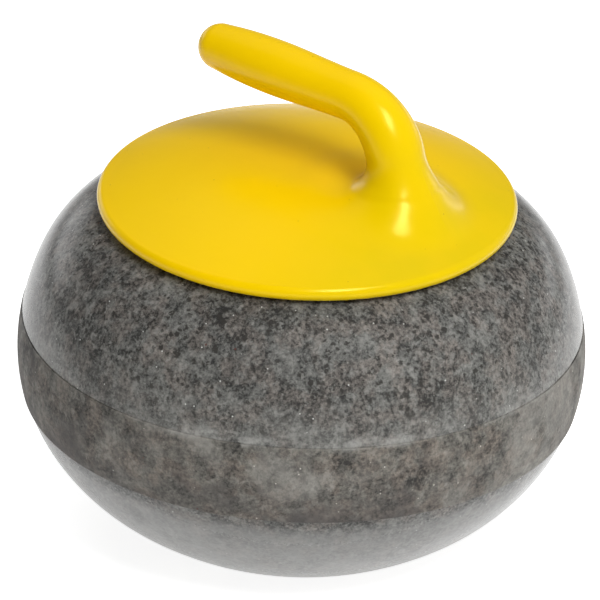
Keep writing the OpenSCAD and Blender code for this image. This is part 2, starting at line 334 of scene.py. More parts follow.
ROOT_Z = dome_z(POST_X, WALL)
POST_DIR = np.array([-math.sin(POST_LEAN), math.cos(POST_LEAN)])
GRIP_DIR = np.array([-math.cos(GRIP_TILT), math.sin(GRIP_TILT)])
BEND = math.pi / 2 - GRIP_TILT - POST_LEAN
CORNER_Z = ((GRIP_Z - (POST_X + ROOT_Z * math.tan(POST_LEAN)) * math.tan(GRIP_TILT))
            / (1 - math.tan(POST_LEAN) * math.tan(GRIP_TILT)))
CORNER = np.array([POST_X - (CORNER_Z - ROOT_Z) * math.tan(POST_LEAN), CORNER_Z])
BEND_START = CORNER - ELBOW_R * math.tan(BEND / 2) * POST_DIR
BEND_END = CORNER + ELBOW_R * math.tan(BEND / 2) * GRIP_DIR
BEND_C = BEND_START - ELBOW_R * np.array([math.cos(POST_LEAN), math.sin(POST_LEAN)])
TIP = np.array([-GRIP_REACH, GRIP_Z + GRIP_REACH * math.tan(GRIP_TILT)])
FOOT_H = BEND_START[1] - dome_z(BEND_START[0])
AROUND = all_round(HANDLE_SIDES)


def tube_ring(x, z, lean, radius):
    """A ring around (x, z) in the handle's plane, square to a line that leans by lean from upright."""
    u, v = radius * np.cos(AROUND), radius * np.sin(AROUND)
    return np.stack([x + u * math.cos(lean), v, z + u * math.sin(lean)], -1)


def grip_rings():
    """From the round end's pole to the start of the bend's far side."""
    lean = math.pi / 2 - GRIP_TILT
    rings = []
    for a in np.radians(np.linspace(86, 0, TIP_RINGS)):
        p = TIP + TIP_R * math.sin(a) * GRIP_DIR
        rings.append(tube_ring(p[0], p[1], lean, TIP_R * math.cos(a)))
    for t in np.linspace(1, 0, GRIP_RINGS + 1)[1:]:
        if t < SWELL_AT:
            r = mix(NECK_R, SWELL_R, ease(t / SWELL_AT))
        else:
            r = mix(SWELL_R, TIP_R, ((t - SWELL_AT) / (1 - SWELL_AT)) ** 2)
        p = mix(BEND_END, TIP, t)
        rings.append(tube_ring(p[0], p[1], lean, r))
    return rings


def bend_rings():
    rings = []
    for t in np.linspace(1, 0, BEND_RINGS + 1)[1:]:
        a = POST_LEAN + BEND * t
        p = BEND_C + ELBOW_R * np.array([math.cos(a), math.sin(a)])
        rings.append(tube_ring(p[0], p[1], a, mix(POST_R, NECK_R, ease(t))))
    return rings


def foot_ring(q):
    """A ring of the flared foot. q runs from 0 at the post to 1 where the foot is level with the plate."""
    h = FOOT_H * (1 - math.sin(q * math.pi / 2))
    spread = FOOT_SPREAD * (1 - math.cos(q * math.pi / 2))
    x = BEND_START[0] + (FOOT_H - h) * math.tan(POST_LEAN)
    lean = mix(POST_LEAN, -math.asin(POST_X / BOW_R), ease(q))
    towards_rim = np.clip(np.cos(AROUND), 0, 1) ** 2
    towards_axis = (np.sqrt(np.cos(AROUND) ** 2 + AXIS_SMOOTH) - np.cos(AROUND)) / 2
    waist = WAIST * math.exp(-((h - WAIST_H) / WAIST_REACH) ** 2)
    uneven = 1 - LESS_TO_RIM * towards_rim + MORE_TO_AXIS * towards_axis ** AXIS_POWER
    across = POST_R - waist + spread * uneven
    u = across * np.cos(AROUND) / math.cos(lean - POST_LEAN * (1 - q))
    v = across * np.sin(AROUND)
    px, py = x + u * math.cos(lean), v
    tube_z = dome_z(x) + h + u * math.sin(lean) - q * (u * u + v * v) / (2 * BOW_R)
    on_dome = DOME_C + np.sqrt(BOW_R ** 2 - px ** 2 - py ** 2) + h
    share = ease((q - FOOT_ON_DOME) / (1 - FOOT_ON_DOME))
    return np.stack([px, py, mix(tube_z, on_dome, share)], -1)


def plate_rings(last):
    """Rings on the dome, from the foot's edge to where the rim's rounding begins, and that angle."""
    turn = math.acos(RIM_RING_R / (BOW_R - RIM_R))
    edge = level_ring(BOW_R * math.cos(turn), 0.0, AROUND)[:, :2]
    rings = []
    for s in np.linspace(0, 1, PLATE_RINGS + 1)[1:]:
        xy = mix(last[:, :2], edge, mix(s, s * s, PLATE_CROWDING))
        z = DOME_C + np.sqrt(BOW_R ** 2 - (xy ** 2).sum(1))
        rings.append(np.column_stack([xy, z]))
    return rings, math.degrees(turn)


def underside_profile(turn):
    """From the rim's rounding under the lip, up inside the shell, and down the boss to its blind hole."""
    inner_r = BOW_R - WALL
    meet = math.degrees(math.acos(RIM_RING_R / inner_r)) + 1.0
    rim = arc((RIM_RING_R, RIM_Z), RIM_R, turn, -170, 0.45)[1:]
    shell = arc((0, DOME_C), inner_r, meet, math.degrees(math.acos(BOSS_R / inner_r)), 3.5)
    hole_top = INSERT_Z + INSERT_H
    return joined([
        (rim, 0.5),
        (line(rim[-1], shell[0], 0.5), 0.4),
        (shell, 1.5),
        (line(shell[-1], (BOSS_R, BOSS_Z), 3), 0.5),
        (line((BOSS_R, BOSS_Z), (BOSS_HOLE_R, BOSS_Z), 2), 0.15),
        (line((BOSS_HOLE_R, BOSS_Z), (BOSS_HOLE_R, INSERT_Z), 1), 0),
        (line((BOSS_HOLE_R, INSERT_Z), (INSERT_R, INSERT_Z), 1), 0),
        (line((INSERT_R, INSERT_Z), (INSERT_R, hole_top), 3), 0),
        (line((INSERT_R, hole_top), (0.4, hole_top), 2), 0),
    ], closed=False)


def parting_ridge(rings):
    """Raises the fine ridge that the two mould halves leave down the outer side of the post's foot."""
    shaped = []
    for i, ring in enumerate(rings):
        ring = ring.copy()
        out = ring[0] - ring.mean(0)
        ring[0] += out / np.linalg.norm(out) * RIDGE_H * math.sin(math.pi * i / (len(rings) - 1))
        shaped.append(ring)
    return shaped


def cast_surface(points, visible):
    """Lets the first points, the visible skin, sink by a few hundredths of a millimetre here and there."""
    shaped = []
    for i, (x, y, z) in enumerate(points):
        if i < visible:
            z -= SINK * (1 + noise.noise(Vector((x, y, z)) * SINK_WAVE))
        shaped.append((x, y, z))
    return shaped


def rib_mesh(angle):
    """A radial rib under the plate: a thin wall with a rounded foot, its ends inside boss and shell."""
    half = RIB_T / 2
    rings = []
    for s in np.linspace(0, 1, RIB_RINGS):
        r = mix(BOSS_R - 1, CUP_R - 2, s)
        foot = CROWN_Z - CUP_DEPTH + RIB_LIFT + RIB_SLOPE * s
        top = dome_z(r, RIB_INTO_WALL * WALL)
        section = [(-half, top), (-0.8 * half, foot + 0.7), (-0.5 * half, foot + 0.15), (0, foot),
                   (0.5 * half, foot + 0.15), (0.8 * half, foot + 0.7), (half, top), (0, top)]
        rings.append([(r * math.cos(angle) - across * math.sin(angle),
                       r * math.sin(angle) + across * math.cos(angle), z) for across, z in section])
    ends = [np.mean(rings[i], axis=0) for i in (0, -1)]
    return loft(rings, start_pole=ends[0], end_pole=ends[1])


def make_handle():
    grip, bend = grip_rings(), bend_rings()
    foot = [foot_ring(q) for q in np.linspace(0, 1, FOOT_RINGS + 1)[1:]]
    plate, turn = plate_rings(foot[-1])
    top = grip + bend + parting_ridge(foot) + plate
    under = turned(underside_profile(turn), HANDLE_SIDES)
    pole = TIP + TIP_R * GRIP_DIR
    points, faces = loft(np.concatenate([np.array(top), under]), start_pole=(pole[0], 0, pole[1]),
                         end_pole=(0, 0, INSERT_Z + INSERT_H))
    points = cast_surface(points, len(top) * HANDLE_SIDES)
    for i in range(RIBS):
        rib_points, rib_faces = rib_mesh(2 * math.pi * i / RIBS)
        faces += [tuple(k + len(points) for k in reversed(face)) for face in rib_faces]
        points += rib_points
    add_object("gooseneck_handle", points, faces, plastic_material(), "handle")


# ================================================================ bolt and fittings
FINISHES = {    # slot: colour, roughness, metallic, grains to a metre
    "bolt_steel": ((0.55, 0.55, 0.57), 0.34, 1.0, 700),
    "washer_steel": ((0.58, 0.58, 0.60), 0.36, 1.0, 500),
    "washer_rubber": ((0.025, 0.025, 0.025), 0.70, 0.0, 900),
    "insert_brass": ((0.68, 0.47, 0.17), 0.30, 1.0, 600),
    "bush_nylon": ((0.74, 0.71, 0.62), 0.45, 0.0, 300),
    "gasket_rubber": ((0.022, 0.022, 0.022), 0.75, 0.0, 900),
}


def add_fitting(name, points, faces, slot, node):
    """A fitting with the finish of its slot."""
    add_object(name, points, faces, fitting_material(slot, *FINISHES[slot]), node)


def bolt_head(angles):
    """Rings of the hexagon head, from its dished middle to its washer face and the shank."""
    bottom, top = STEEL_WASHER_Z - BOLT_HEAD_H, STEEL_WASHER_Z
    flat_r, half_side = BOLT_FLATS / 2, math.pi / 6
    hexagon = flat_r / np.cos((angles + half_side) % (2 * half_side) - half_side)
    round_r, corner_r = flat_r * 0.99, flat_r / math.cos(half_side)
    dish = ((0.05, 0.5), (3.6, 0.5), (4.0, 0.02), (round_r * 0.96, 0))
    washer_face = ((round_r * 0.97, -0.05), (BOLT_R + 0.45, 0), (BOLT_R + 0.1, 0.1), (BOLT_R - 0.02, 0.6))
    rings = [level_ring(r, bottom + up, angles) for r, up in dish]
    for r in np.linspace(round_r, corner_r, 7):
        chamfer = (r - round_r) * math.tan(BOLT_CHAMFER)
        rings.append(level_ring(np.minimum(hexagon, r), bottom + chamfer + 0.05, angles))
    rings += [level_ring(hexagon, z, angles) for z in np.linspace(bottom + 1.3, top - 0.9, 4)]
    rings.append(level_ring(np.minimum(hexagon, round_r), top - 0.4, angles))
    return rings + [level_ring(r, top + up, angles) for r, up in washer_face]


def bolt_thread(angles):
    """Rings of the rolled helical thread, which runs out into the shank and is bevelled at its end."""
    rings = []
    for z in np.arange(THREAD_FROM, SHANK_TOP - 0.2, BOLT_PITCH / 10)[1:]:
        turn = ((z - THREAD_FROM) / BOLT_PITCH - angles / (2 * math.pi)) % 1
        cut = np.clip(1.25 - 2.5 * np.abs(turn - 0.5), 0, 1) * THREAD_DEPTH
        radius = BOLT_R - cut * ease((z - THREAD_FROM) / (2 * BOLT_PITCH))
        bevel = z - (SHANK_TOP - 1.2)
        if bevel > 0:
            radius = np.minimum(radius, BOLT_R - 0.2 - bevel * 0.8)
        rings.append(level_ring(radius, z, angles))
    return rings


def make_bolt():
    """Hexagon head, plain shank and thread, in one closed mesh."""
    angles = all_round(BOLT_SIDES)
    shank_z = np.linspace(STEEL_WASHER_Z + 3, THREAD_FROM, 12)
    shank = [level_ring(BOLT_R - 0.02, z, angles) for z in shank_z]
    end = [level_ring(3.2, SHANK_TOP - 0.05, angles)]
    dish_z = STEEL_WASHER_Z - BOLT_HEAD_H + 0.5
    points, faces = loft(bolt_head(angles) + shank + bolt_thread(angles) + end,
                         start_pole=(0, 0, dish_z), end_pole=(0, 0, SHANK_TOP))
    add_fitting("bolt", points, faces, "bolt_steel", "through_bolt")


def make_washer(name, node, slot, z, thickness, soft):
    """A flat washer with rounded edges."""
    top = z + thickness
    corners = [(WASHER_BORE_R, z), (WASHER_R, z), (WASHER_R, top), (WASHER_BORE_R, top)]
    points, faces = turned_ring(outline(corners, soft, 1.5), FITTING_SIDES)
    add_fitting(name, points, faces, slot, node)


def make_insert():
    """Brass insert: two locking grooves and straight knurling outside, a chamfered bore inside."""
    groove, third, bevel, bore_bevel = 0.8, INSERT_H / 3, 0.3, 0.5
    groove_r, mouth_r, top = INSERT_R - groove, INSERT_BORE_R + bore_bevel, INSERT_Z + INSERT_H
    edge = [(mouth_r, INSERT_Z), (INSERT_R - bevel, INSERT_Z), (INSERT_R, INSERT_Z + bevel)]
    for z in (INSERT_Z + third, INSERT_Z + 2 * third):
        edge += [(INSERT_R, z - groove), (groove_r, z - groove + 0.1),
                 (groove_r, z + groove - 0.1), (INSERT_R, z + groove)]
    edge += [(INSERT_R, top - bevel), (INSERT_R - bevel, top), (mouth_r, top),
             (INSERT_BORE_R, top - bore_bevel), (INSERT_BORE_R, INSERT_Z + bore_bevel)]
    angles = all_round(KNURL_SIDES)
    tooth = KNURL_DEPTH * np.abs((angles * KNURL_TEETH / (2 * math.pi)) % 1 - 0.5) * 2
    rings = [level_ring(r - np.where(r > INSERT_R - 0.1, tooth, 0), z, angles)
             for r, z in outline(edge, 0.06, 1.0)]
    points, faces = loft(rings, closed=True)
    add_fitting("brass_insert", points, faces, "insert_brass", "threaded_insert")


def make_bush():
    """Nylon bush: a flange under the boss and a sleeve down the bolt hole, with rounded edges."""
    floor_z = CROWN_Z - CUP_DEPTH
    foot_z, top = floor_z - BUSH_SLEEVE, floor_z + BUSH_FLANGE_T
    corners = [(BUSH_BORE_R, top), (BUSH_BORE_R, foot_z), (BUSH_R - 0.7, foot_z), (BUSH_R, foot_z + 1.4),
               (BUSH_R, floor_z), (BUSH_FLANGE_R, floor_z), (BUSH_FLANGE_R, top)]
    points, faces = turned_ring(outline(corners, 0.3, 2.0), FITTING_SIDES)
    add_fitting("nylon_bush", points, faces, "bush_nylon", "centring_bush")


def make_gasket():
    """Soft ring squeezed between the granite's crown and the plate's underside."""
    cap_c, cap = half_arcs(UPPER_ARCS)[2]
    radii = np.linspace(GASKET_IN_R, GASKET_OUT_R, 9)
    upper = [(r, dome_z(r, WALL) - GASKET_GAP) for r in radii]
    lower = [(r, WIDEST_Z + cap_c[1] + math.sqrt(cap ** 2 - r * r) + GASKET_GAP) for r in radii]
    outer, inner = line(upper[-1], lower[-1], 0.8), line(lower[0], upper[0], 0.8)
    profile = joined([(upper, 0.35), (outer, 0.35), (lower[::-1], 0.35), (inner, 0.35)])
    points, faces = turned_ring(profile, STONE_SIDES)
    add_fitting("soft_gasket", points, faces, "gasket_rubber", "seat_gasket")


def make_fittings():
    make_bolt()
    make_washer("bolt_washer", "steel_washer", "washer_steel", STEEL_WASHER_Z, STEEL_WASHER_T, 0.25)
    make_washer("soft_washer", "rubber_washer", "washer_rubber", RUBBER_WASHER_Z, RUBBER_WASHER_T, 0.6)
    make_insert()
    make_bush()
    make_gasket()


# ================================================================ materials
class Nodes:
    """Short calls for building a node tree."""

    def __init__(self, name, world=False):
        owners = bpy.data.worlds if world else bpy.data.materials
        self.owner = owners.new(name)
        self.owner.use_nodes = True
        self.tree = self.owner.node_tree
        self.tree.nodes.clear()

    def add(self, kind, values=None, **settings):
        node = self.tree.nodes.new(kind)
        for key, value in settings.items():
            setattr(node, key, value)
        for key, value in (values or {}).items():
            self.put(node.inputs[key], value)
        return node

    def put(self, socket, value):
        if isinstance(value, bpy.types.NodeSocket):
            self.tree.links.new(value, socket)
        else:
            socket.default_value = value

    def math(self, operation, a, b=0.0):
        return self.add("ShaderNodeMath", {0: a, 1: b}, operation=operation).outputs[0]

    def times(self, first, *others):
        for other in others:
            first = self.math("MULTIPLY", first, other)
        return first

    def sum(self, first, *others):
        for other in others:
            first = self.math("ADD", first, other)
        return first

    def vector(self, operation, a, b):
        node = self.add("ShaderNodeVectorMath", {0: a, 1: b}, operation=operation)
        return node.outputs["Value" if operation == "DOT_PRODUCT" else "Vector"]

    def noise(self, at, scale, detail=2.0, rough=0.5, output="Fac"):
        values = {"Vector": at, "Scale": scale, "Detail": detail, "Roughness": rough}
        return self.add("ShaderNodeTexNoise", values).outputs[output]

    def cells(self, at, scale):
        """Distance to the nearest cell's centre, and a number from 0 to 1 that belongs to the cell."""
        node = self.add("ShaderNodeTexVoronoi", {"Vector": at, "Scale": scale})
        parts = self.add("ShaderNodeSeparateColor", {0: node.outputs["Color"]})
        return node.outputs["Distance"], parts.outputs[0]

    def ramp(self, value, low, high, to_low=0.0, to_high=1.0, smooth=True):
        """value between low and high, mapped to to_low … to_high and held beyond."""
        kind = "SMOOTHSTEP" if smooth else "LINEAR"
        values = {"Value": value, "From Min": low, "From Max": high, "To Min": to_low, "To Max": to_high}
        return self.add("ShaderNodeMapRange", values, interpolation_type=kind).outputs["Result"]

    def spread(self, value, low, high):
        """A noise value mapped to low … high without easing."""
        return self.ramp(value, 0.28, 0.72, low, high, False)

    def blend(self, share, a, b, kind="MIX"):
        node = self.add("ShaderNodeMix", {"Factor": share}, data_type="RGBA", blend_type=kind)
        colour_inputs = [socket for socket in node.inputs if socket.type == "RGBA"]
        self.put(colour_inputs[0], a)
        self.put(colour_inputs[1], b)
        return next(socket for socket in node.outputs if socket.type == "RGBA")

    def grey(self, value):
        return self.add("ShaderNodeCombineColor", {0: value, 1: value, 2: value}).outputs[0]

    def object_place(self):
        at = self.add("ShaderNodeTexCoord").outputs["Object"]
        return at, self.add("ShaderNodeSeparateXYZ", {0: at}).outputs

    def towards(self, place, azimuth):
        """How far a place lies towards an azimuth in degrees."""
        return self.vector("DOT_PRODUCT", place, tuple(towards(math.radians(azimuth), 0.0)))

    def shaken(self, at, scale, amount):
        """The place moved a little by noise, so that cells get uneven outlines."""
        centred = self.vector("SUBTRACT", self.noise(at, scale, 2, output="Color"), (0.5, 0.5, 0.5))
        shift = self.add("ShaderNodeVectorMath", {0: centred, "Scale": amount}, operation="SCALE")
        return self.vector("ADD", at, shift.outputs["Vector"])

    def bump(self, height, distance, strength=1.0):
        values = {"Height": height, "Distance": distance, "Strength": strength}
        return self.add("ShaderNodeBump", values).outputs[0]

    def surface(self, **sockets):
        shader = self.add("ShaderNodeBsdfPrincipled")
        for key, value in sockets.items():
            self.put(shader.inputs[key.replace("_", " ")], value)
        self.add("ShaderNodeOutputMaterial", {"Surface": shader.outputs[0]})
        return self.owner


def rgb(r, g, b):
    return (r, g, b, 1.0)


# ---------------------------------------------------------------- granite
LOW_EDGE, HIGH_EDGE = (WIDEST_Z - BAND_BELOW) * MM, (WIDEST_Z + BAND_ABOVE) * MM
EDGE_BLUR = 0.25 * MM
GROUND_GREY, DARKEST_SHADE = 0.096, 0.16
GREENISH, PINKISH, BAND_BROWN = rgb(0.98, 0.98, 0.91), rgb(1.06, 0.96, 0.86), rgb(1.02, 0.965, 0.90)
MICA, FELDSPAR = rgb(0.020, 0.018, 0.015), rgb(0.25, 0.247, 0.230)
BRIGHT_FLECK, RUSTY_FLECK = rgb(0.55, 0.55, 0.52), rgb(0.075, 0.018, 0.012)
# the lower dome's pale colour is painted light and reflection of the glowing floor below
POWDER, STAIN, LOWER_DOME_PAINTED_LIGHT = rgb(0.275, 0.266, 0.242), rgb(0.050, 0.044, 0.042), rgb(0.215, 0.215, 0.208)
# the edge colour darkens the groove over the band: painted shade
EDGE_PAINTED_SHADE, EDGE_SMEAR = rgb(0.022, 0.020, 0.018), rgb(0.33, 0.33, 0.31)


class GraniteNodes(Nodes):
    """The granite's node tree, one layer to a method. Noise and cells have waves or cells to a metre."""

    def __init__(self):
        super().__init__("granite")
        self.at, place = self.object_place()
        self.height = place["Z"]
        self.warped = self.shaken(self.at, 420, 0.0020)
        self.fine = self.noise(self.at, 640, 3, 0.7)
        self.grainy = self.spread(self.fine, 0.70, 1.0)
        over_low = self.ramp(self.height, LOW_EDGE - EDGE_BLUR, LOW_EDGE + EDGE_BLUR)
        under_high = self.ramp(self.height, HIGH_EDGE - EDGE_BLUR, HIGH_EDGE + EDGE_BLUR, 1.0, 0.0)
        self.on_band = self.times(over_low, under_high)

    def either(self, polished, matte):
        """One value on the polished domes and another on the matte striking band."""
        return self.ramp(self.on_band, 0, 1, polished, matte, False)

    def rising(self, start, end):
        """From 0 to 1 between two heights in millimetres over the band's upper edge."""
        return self.ramp(self.height, HIGH_EDGE + start * MM, HIGH_EDGE + end * MM)

    def fading(self, start, end):
        """From 1 to 0 between two heights in millimetres over the band's upper edge."""
        return self.ramp(self.height, HIGH_EDGE + start * MM, HIGH_EDGE + end * MM, 1.0, 0.0)

    def facing(self, azimuth, start, end, low, high):
        """From low to high as a place lies start to end metres towards an azimuth in degrees."""
        return self.ramp(self.towards(self.at, azimuth), start, end, low, high)

    def shade(self):
        """Large drifts, clouds of a centimetre, smudges of a few millimetres, packed fine grains, and
        painted shade towards azimuth -10.
        """
        drifts = self.spread(self.noise(self.at, 22, 2), -0.34, 0.34)
        clouds = self.spread(self.noise(self.warped, 85, 3, 0.55), -0.42, 0.42)
        smudges = self.spread(self.noise(self.warped, 230, 3, 0.6), -0.60, 0.60)
        small = self.times(self.sum(smudges, self.spread(self.fine, -1.0, 1.0)), self.either(1.0, 0.80))
        total = self.math("MAXIMUM", self.sum(1.0, drifts, clouds, small), DARKEST_SHADE)
        # the facing factor darkens the side towards azimuth -10, away from the lamps: painted shade
        return self.times(total, self.facing(-10, 0.03, 0.12, 1.0, 0.86), GROUND_GREY)

    def ground(self):
        """The shade, greenish in some places and pinkish brown in others."""
        tint = self.blend(self.ramp(self.noise(self.warped, 90, 3), 0.42, 0.58), GREENISH, PINKISH)
        return self.blend(1.0, tint, self.grey(self.shade()), "MULTIPLY")

    def mica(self):
        """Share of dark mica: small ragged grains that gather in places and thin out above the band."""
        gather = self.sum(self.spread(self.noise(self.at, 110, 2), -0.38, 0.38),
                          self.spread(self.noise(self.at, 34, 2), -0.28, 0.28))
        mica = 0.0
        for scale, reach in ((370, 0.52), (240, 0.40)):
            grain_at, grain_kind = self.cells(self.shaken(self.at, 700, 0.0026), scale)
            present = self.ramp(self.sum(grain_kind, gather), 0.61, 0.70)
            grains = self.times(present, self.ramp(grain_at, 0.24, reach, 1.0, 0.0))
            mica = self.math("MAXIMUM", mica, grains)
        uneven = self.ramp(self.noise(self.warped, 40, 3, 0.6), 0.40, 0.60, 0.30, 0.85)
        rubbed_off = self.times(self.fading(1, 15), uneven)
        return self.times(mica, self.either(0.92, 0.26), self.math("SUBTRACT", 1.0, rubbed_off))

    def feldspar(self):
        """Share of pale feldspar: clear grains and smeared clouds."""
        pale = self.noise(self.vector("ADD", self.warped, (3.1, 1.7, 0.4)), 330, 3, 0.65)
        smears = self.noise(self.vector("ADD", self.warped, (0.6, 2.3, 5.1)), 150, 4, 0.65)
        light = self.math("MAXIMUM", self.times(self.ramp(pale, 0.56, 0.68), 0.55),
                          self.times(self.ramp(smears, 0.50, 0.74), 0.72))
        return self.times(light, self.either(1.0, 0.45), self.spread(self.fine, 0.65, 1.0))

    def haze(self):
        """Share of a pale haze above the band, where the polish is worn."""
        uneven = self.ramp(self.noise(self.warped, 40, 3, 0.6), 0.38, 0.60, 0.14, 0.42)
        return self.times(self.fading(0, 26), self.rising(-1, 0), uneven, self.spread(self.fine, 0.5, 1.0))

    def flecks(self, colour):
        """Adds single bright flecks and a rare rusty one."""
        fleck_at, fleck_kind = self.cells(self.at, 230)
        bright = self.times(self.ramp(fleck_at, 0.03, 0.12, 1.0, 0.0), self.ramp(fleck_kind, 0.70, 0.71))
        rusty = self.times(self.ramp(fleck_at, 0.09, 0.15, 1.0, 0.0),
                           self.ramp(fleck_kind, 0.02, 0.03, 1.0, 0.0), 0.8)
        return self.blend(rusty, self.blend(bright, colour, BRIGHT_FLECK), RUSTY_FLECK)

    def striking_band(self, colour):
        """Makes the band browner, with powdery and stained places, and a stain that settled at its foot."""
        colour = self.blend(self.on_band, colour, self.blend(1.0, colour, BAND_BROWN, "MULTIPLY"))
        patches = self.sum(self.noise(self.shaken(self.at, 60, 0.010), 27, 3, 0.55),
                           self.facing(100, 0.105, 0.130, 0.02, 0.11),
                           self.facing(58, 0.110, 0.133, 0.0, -0.08),
                           self.facing(25, 0.122, 0.134, 0.0, 0.05))
        grains = self.noise(self.warped, 170, 4, 0.66)
        powdery = self.sum(self.times(self.ramp(patches, 0.50, 0.70), 0.58),
                           self.times(self.ramp(grains, 0.54, 0.68), 0.34))
        colour = self.blend(self.times(self.on_band, powdery, self.grainy), colour, POWDER)
        settled = self.times(self.ramp(self.height, LOW_EDGE, LOW_EDGE + 22 * MM, 1.0, 0.0),
                             self.ramp(self.noise(self.at, 20, 3, 0.6), 0.38, 0.54),
                             self.facing(15, 0.118, 0.133, 1.0, 0.35), 0.66)
        stained = self.sum(settled, self.times(self.ramp(patches, 0.34, 0.50, 1.0, 0.0), 0.56),
                           self.times(self.ramp(grains, 0.34, 0.47, 1.0, 0.0), 0.36))
        return self.blend(self.times(self.on_band, stained, self.grainy), colour, STAIN)

    def lower_dome(self, colour):
        """Makes the dome below the band paler and calmer: painted light and reflection of the glowing floor.
        """
        below = self.ramp(self.height, LOW_EDGE - 12 * MM, LOW_EDGE, 1.0, 0.0)
        share = self.spread(self.noise(self.warped, 55, 4, 0.65), 0.36, 0.80)
        # paler blend below the band: painted light and painted reflection
        return self.blend(self.times(below, share), colour, LOWER_DOME_PAINTED_LIGHT)

    def upper_edge(self, colour):
        """Adds painted shade in the groove over the band, and pale smears instead where the edge is worn, at
        the front.
        """
        # share towards the front, where the groove's painted shade fades out and worn smears show
        worn = self.facing(48, 0.075, 0.115, 0.0, 1.0)
        uneven = self.ramp(self.noise(self.at, 45, 3, 0.6), 0.36, 0.54, 0.90, 0.35)
        # painted shade in the groove over the band
        groove_shade = self.times(self.rising(-0.50, -0.25), self.fading(0.05, 0.30), uneven,
                          self.ramp(worn, 0, 1, 1.0, 0.0, False))
        colour = self.blend(groove_shade, colour, EDGE_PAINTED_SHADE)
        smears = self.times(self.rising(-2.5, 0.5), self.fading(1.5, 6.0),
                            self.ramp(self.noise(self.warped, 70, 4, 0.68), 0.44, 0.58),
                            self.ramp(worn, 0, 1, 0.35, 1.0, False), self.grainy, 0.60)
        return self.blend(smears, colour, EDGE_SMEAR)

    def roughness(self):
        """The polish shows at a glance and dulls when seen square on; the band is matte."""
        glance = self.add("ShaderNodeLayerWeight", {"Blend": 0.5}).outputs["Facing"]
        polished = self.ramp(glance, 0.20, 0.55, 0.75, 0.20)
        return self.sum(self.either(polished, 0.70), self.spread(self.fine, -0.04, 0.04))


def granite_material():
    """Grey speckled granite with polished domes and a browner, matte striking band."""
    n = GraniteNodes()
    mica = n.mica()
    colour = n.blend(mica, n.ground(), MICA)
    colour = n.blend(n.feldspar(), colour, FELDSPAR)
    colour = n.blend(n.haze(), colour, FELDSPAR)
    colour = n.upper_edge(n.lower_dome(n.striking_band(n.flecks(colour))))
    relief = n.math("SUBTRACT", n.fine, n.times(mica, 0.4))
    normal = n.bump(relief, n.times(n.either(0.03, 0.16), MM))
    return n.surface(Base_Color=colour, Roughness=n.roughness(), Normal=normal, IOR=1.55,
                     Specular_IOR_Level=0.30)


# ---------------------------------------------------------------- plastic and fittings
# the post-side yellow is painted shade, darker and tinted greener as by a cool light
YELLOW, YELLOW_PAINTED_SHADE_AT_POST, YELLOW_FLOW = rgb(0.86, 0.555, 0.0), rgb(0.69, 0.495, 0.0), rgb(0.83, 0.53, 0.0)
# the rim colour is painted shade under the plate's rim
PIT, RIM_PAINTED_SHADE, YELLOW_GLOSS = rgb(0.36, 0.22, 0.01), rgb(0.24, 0.15, 0.015), rgb(1.0, 0.95, 0.30)


def plastic_material():
    """Glossy yellow moulding: faint flow marks, pits, painted shade under the rim, and painted shade on the
    greener post side.
    """
    n = Nodes("handle_plastic")
    at, place = n.object_place()
    # towards the post side the yellow turns darker and greener: painted shade and a painted cool tint
    colour = n.blend(n.ramp(place["X"], 0.015, 0.085), YELLOW, YELLOW_PAINTED_SHADE_AT_POST)
    flow = n.noise(at, 38, 3, 0.5)
    colour = n.blend(n.ramp(flow, 0.35, 0.65, 0.0, 0.25), colour, YELLOW_FLOW)
    pit_at, pit_kind = n.cells(at, 170)
    pits = n.times(n.ramp(pit_at, 0.035, 0.075, 1.0, 0.0), n.ramp(pit_kind, 0.74, 0.76))
    colour = n.blend(n.times(pits, 0.55), colour, PIT)

    # painted shade low on the rim's edge, under the plate
    under = n.ramp(place["Z"], (RIM_Z - 3.4) * MM, (RIM_Z - 0.5) * MM, 1.0, 0.0)
    rim_shade = n.times(under, n.ramp(n.noise(at, 160, 3, 0.6), 0.40, 0.65), 0.35)
    colour = n.blend(rim_shade, colour, RIM_PAINTED_SHADE)

    rough = n.spread(n.noise(at, 120, 3, 0.6), 0.19, 0.25)
    skin = n.noise(at, 260, 2, 0.5)
    waves = n.noise(at, 45, 1, 0.5)
    relief = n.math("SUBTRACT", n.sum(n.times(skin, 0.15), waves), n.times(pits, 0.5))
    return n.surface(Base_Color=colour, Roughness=rough, Normal=n.bump(relief, 0.14 * MM), IOR=1.5,
                     Specular_IOR_Level=0.34, Specular_Tint=YELLOW_GLOSS)


def fitting_material(name, colour, roughness, metallic, grain_scale):
    """A small fitting's finish: the colour and roughness vary with a fine grain."""
    n = Nodes(name)
    at, _ = n.object_place()
    grain = n.noise(at, grain_scale, 3, 0.6)
    darker = tuple(c * 0.75 for c in colour)
    shade = n.blend(n.ramp(grain, 0.3, 0.7), rgb(*darker), rgb(*colour))
    rough = n.ramp(grain, 0.3, 0.7, roughness - 0.08, roughness + 0.08)
    normal = n.bump(grain, 0.05 * MM, 0.6)
    return n.surface(Base_Color=shade, Roughness=rough, Normal=normal, Metallic=metallic)


# ================================================================ camera, floor and lights
CAMERA_AZIMUTH, CAMERA_ELEVATION, CAMERA_ROLL = math.radians(37), math.radians(28), math.radians(2.3)
CAMERA_DISTANCE, CAMERA_LENS, CAMERA_SENSOR = 2.68, 340.8, 36.0
AIM_LOW, AIM_LEFT = math.radians(0.447), math.radians(0.015)
FLOOR_HALF, GLOW_FROM, GLOW_TO, GLOW, FLOOR_SEEN = 8.0, 0.70, 1.0, 0.60, 0.8
PANELS = ((257, 17, 14, 1.4), (175, 15, 5, 1.6))     # azimuth, half width and top in degrees, strength
PANEL_BLUR, PANEL_TOP_BLUR = 6, 4
HORIZON_HAZE, ROOM, BEHIND, CEILING, EVERYWHERE = 0.27, 0.36, 0.06, 0.06, 0.06


def towards(azimuth, elevation):
    """The direction from the stone to something at that azimuth and elevation."""
    return Vector((math.sin(azimuth) * math.cos(elevation), -math.cos(azimuth) * math.cos(elevation),
                   math.sin(elevation)))


